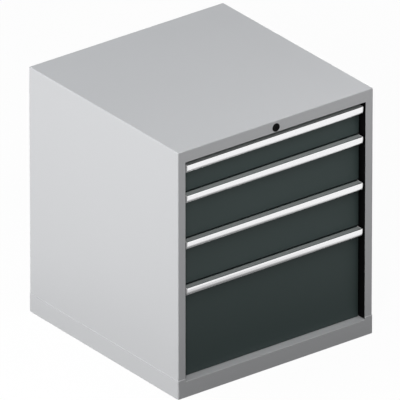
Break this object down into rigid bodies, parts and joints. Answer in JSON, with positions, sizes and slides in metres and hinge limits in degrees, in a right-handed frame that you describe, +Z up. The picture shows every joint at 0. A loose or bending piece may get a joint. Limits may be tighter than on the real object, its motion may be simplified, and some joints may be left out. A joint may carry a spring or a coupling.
{
  "type": "multi-drawer cabinet",
  "caption": "Free-standing steel drawer cabinet with full-width bar handles, roller slides and a cylinder lock that bars all drawers from behind.",
  "frame": {"origin": "centre of the footprint, on the floor", "axes": "+Z up, +X to the right of someone facing the drawers, +Y from the drawer fronts to the back"},
  "size_m": [0.717, 0.725, 0.8],
  "materials": {
    "body_paint": "light grey powder coat, fine orange peel, satin",
    "front_paint": "dark anthracite powder coat, fine orange peel, satin",
    "tray_paint": "grey powder coat, satin",
    "black_paint": "black paint, matt",
    "aluminium": "natural anodised extrusion, fine lines along its length",
    "label_cover": "clear strip over a grey card",
    "cap_plastic": "light grey moulded plastic",
    "zinc": "bright zinc plated steel",
    "roller_steel": "turned steel",
    "lock_black": "black moulded case, satin",
    "lock_plug": "dark nickel plated plug",
    "guide_plastic": "black moulded plastic"
  },
  "bodies": {
    "housing": {"left_side_panel": "body_paint", "right_side_panel": "body_paint", "back_panel": "body_paint", "back_screws": "zinc", "top_panel": "body_paint", "top_rail": "body_paint", "base_plinth": "body_paint", "bottom_panel": "body_paint", "front_uprights": "black_paint", "rear_uprights": "black_paint", "fixed_rails": "zinc", "lock_case": "lock_black", "lock_guides": "guide_plastic"},
    "lock_cylinder": {"lock_cylinder": "lock_plug", "lock_shaft": "zinc"},
    "lock_bar": {"lock_bar": "zinc"},
    "drawer_1": {"drawer_1_tray": "tray_paint", "drawer_1_front_panel": "front_paint", "drawer_1_handle": "aluminium", "drawer_1_handle_caps": "cap_plastic", "drawer_1_handle_screws": "zinc", "drawer_1_label_strip": "label_cover", "drawer_1_runner_rails": "zinc"},
    "slide_1": {"drawer_1_middle_rails": "zinc"},
    "rollers_1_front": {"drawer_1_front_rollers": "roller_steel"},
    "rollers_1_centre": {"drawer_1_centre_rollers": "roller_steel"},
    "rollers_1_rear": {"drawer_1_rear_rollers": "roller_steel"},
    "drawer_2": {"drawer_2_tray": "tray_paint", "drawer_2_front_panel": "front_paint", "drawer_2_handle": "aluminium", "drawer_2_handle_caps": "cap_plastic", "drawer_2_handle_screws": "zinc", "drawer_2_label_strip": "label_cover", "drawer_2_runner_rails": "zinc"},
    "slide_2": {"drawer_2_middle_rails": "zinc"},
    "rollers_2_front": {"drawer_2_front_rollers": "roller_steel"},
    "rollers_2_centre": {"drawer_2_centre_rollers": "roller_steel"},
    "rollers_2_rear": {"drawer_2_rear_rollers": "roller_steel"},
    "drawer_3": {"drawer_3_tray": "tray_paint", "drawer_3_front_panel": "front_paint", "drawer_3_handle": "aluminium", "drawer_3_handle_caps": "cap_plastic", "drawer_3_handle_screws": "zinc", "drawer_3_label_strip": "label_cover", "drawer_3_runner_rails": "zinc"},
    "slide_3": {"drawer_3_middle_rails": "zinc"},
    "rollers_3_front": {"drawer_3_front_rollers": "roller_steel"},
    "rollers_3_centre": {"drawer_3_centre_rollers": "roller_steel"},
    "rollers_3_rear": {"drawer_3_rear_rollers": "roller_steel"},
    "drawer_4": {"drawer_4_tray": "tray_paint", "drawer_4_front_panel": "front_paint", "drawer_4_handle": "aluminium", "drawer_4_handle_caps": "cap_plastic", "drawer_4_handle_screws": "zinc", "drawer_4_label_strip": "label_cover", "drawer_4_runner_rails": "zinc"},
    "slide_4": {"drawer_4_middle_rails": "zinc"},
    "rollers_4_front": {"drawer_4_front_rollers": "roller_steel"},
    "rollers_4_centre": {"drawer_4_centre_rollers": "roller_steel"},
    "rollers_4_rear": {"drawer_4_rear_rollers": "roller_steel"}
  },
  "joints": [
    {"name": "lock_turn", "type": "hinge", "parent": "housing", "child": "lock_cylinder", "pos_m": [0, -0.33, 0.778], "axis": [0, 1, 0], "range_deg": [0, 90]},
    {"name": "lock_bar_lift", "type": "slide", "parent": "housing", "child": "lock_bar", "axis": [0, 0, 1], "range_m": [0, 0.01414]},
    {"name": "drawer_1_slide", "type": "slide", "parent": "housing", "child": "drawer_1", "axis": [0, -1, 0], "range_m": [0, 0.58]},
    {"name": "slide_1_follow", "type": "slide", "parent": "housing", "child": "slide_1", "axis": [0, -1, 0], "range_m": [0, 0.29]},
    {"name": "rollers_1_front_spin", "type": "hinge", "parent": "slide_1", "child": "rollers_1_front", "pos_m": [0, -0.299, 0.692], "axis": [1, 0, 0], "range_deg": [0, 1511]},
    {"name": "rollers_1_centre_spin", "type": "hinge", "parent": "slide_1", "child": "rollers_1_centre", "pos_m": [0, -0.008, 0.692], "axis": [1, 0, 0], "range_deg": [0, 1511]},
    {"name": "rollers_1_rear_spin", "type": "hinge", "parent": "slide_1", "child": "rollers_1_rear", "pos_m": [0, 0.283, 0.692], "axis": [1, 0, 0], "range_deg": [0, 1511]},
    {"name": "drawer_2_slide", "type": "slide", "parent": "housing", "child": "drawer_2", "axis": [0, -1, 0], "range_m": [0, 0.58]},
    {"name": "slide_2_follow", "type": "slide", "parent": "housing", "child": "slide_2", "axis": [0, -1, 0], "range_m": [0, 0.29]},
    {"name": "rollers_2_front_spin", "type": "hinge", "parent": "slide_2", "child": "rollers_2_front", "pos_m": [0, -0.299, 0.542], "axis": [1, 0, 0], "range_deg": [0, 1511]},
    {"name": "rollers_2_centre_spin", "type": "hinge", "parent": "slide_2", "child": "rollers_2_centre", "pos_m": [0, -0.008, 0.542], "axis": [1, 0, 0], "range_deg": [0, 1511]},
    {"name": "rollers_2_rear_spin", "type": "hinge", "parent": "slide_2", "child": "rollers_2_rear", "pos_m": [0, 0.283, 0.542], "axis": [1, 0, 0], "range_deg": [0, 1511]},
    {"name": "drawer_3_slide", "type": "slide", "parent": "housing", "child": "drawer_3", "axis": [0, -1, 0], "range_m": [0, 0.58]},
    {"name": "slide_3_follow", "type": "slide", "parent": "housing", "child": "slide_3", "axis": [0, -1, 0], "range_m": [0, 0.29]},
    {"name": "rollers_3_front_spin", "type": "hinge", "parent": "slide_3", "child": "rollers_3_front", "pos_m": [0, -0.299, 0.392], "axis": [1, 0, 0], "range_deg": [0, 1511]},
    {"name": "rollers_3_centre_spin", "type": "hinge", "parent": "slide_3", "child": "rollers_3_centre", "pos_m": [0, -0.008, 0.392], "axis": [1, 0, 0], "range_deg": [0, 1511]},
    {"name": "rollers_3_rear_spin", "type": "hinge", "parent": "slide_3", "child": "rollers_3_rear", "pos_m": [0, 0.283, 0.392], "axis": [1, 0, 0], "range_deg": [0, 1511]},
    {"name": "drawer_4_slide", "type": "slide", "parent": "housing", "child": "drawer_4", "axis": [0, -1, 0], "range_m": [0, 0.58]},
    {"name": "slide_4_follow", "type": "slide", "parent": "housing", "child": "slide_4", "axis": [0, -1, 0], "range_m": [0, 0.29]},
    {"name": "rollers_4_front_spin", "type": "hinge", "parent": "slide_4", "child": "rollers_4_front", "pos_m": [0, -0.299, 0.092], "axis": [1, 0, 0], "range_deg": [0, 1511]},
    {"name": "rollers_4_centre_spin", "type": "hinge", "parent": "slide_4", "child": "rollers_4_centre", "pos_m": [0, -0.008, 0.092], "axis": [1, 0, 0], "range_deg": [0, 1511]},
    {"name": "rollers_4_rear_spin", "type": "hinge", "parent": "slide_4", "child": "rollers_4_rear", "pos_m": [0, 0.283, 0.092], "axis": [1, 0, 0], "range_deg": [0, 1511]}
  ],
  "couplings": [
    {"joint": "lock_turn", "follows": "lock_bar_lift", "rad_per_m": 111.07},
    {"joint": "slide_1_follow", "follows": "drawer_1_slide", "ratio": 0.5},
    {"joint": "rollers_1_front_spin", "follows": "drawer_1_slide", "rad_per_m": 45.455},
    {"joint": "rollers_1_centre_spin", "follows": "drawer_1_slide", "rad_per_m": 45.455},
    {"joint": "rollers_1_rear_spin", "follows": "drawer_1_slide", "rad_per_m": 45.455},
    {"joint": "slide_2_follow", "follows": "drawer_2_slide", "ratio": 0.5},
    {"joint": "rollers_2_front_spin", "follows": "drawer_2_slide", "rad_per_m": 45.455},
    {"joint": "rollers_2_centre_spin", "follows": "drawer_2_slide", "rad_per_m": 45.455},
    {"joint": "rollers_2_rear_spin", "follows": "drawer_2_slide", "rad_per_m": 45.455},
    {"joint": "slide_3_follow", "follows": "drawer_3_slide", "ratio": 0.5},
    {"joint": "rollers_3_front_spin", "follows": "drawer_3_slide", "rad_per_m": 45.455},
    {"joint": "rollers_3_centre_spin", "follows": "drawer_3_slide", "rad_per_m": 45.455},
    {"joint": "rollers_3_rear_spin", "follows": "drawer_3_slide", "rad_per_m": 45.455},
    {"joint": "slide_4_follow", "follows": "drawer_4_slide", "ratio": 0.5},
    {"joint": "rollers_4_front_spin", "follows": "drawer_4_slide", "rad_per_m": 45.455},
    {"joint": "rollers_4_centre_spin", "follows": "drawer_4_slide", "rad_per_m": 45.455},
    {"joint": "rollers_4_rear_spin", "follows": "drawer_4_slide", "rad_per_m": 45.455}
  ]
}
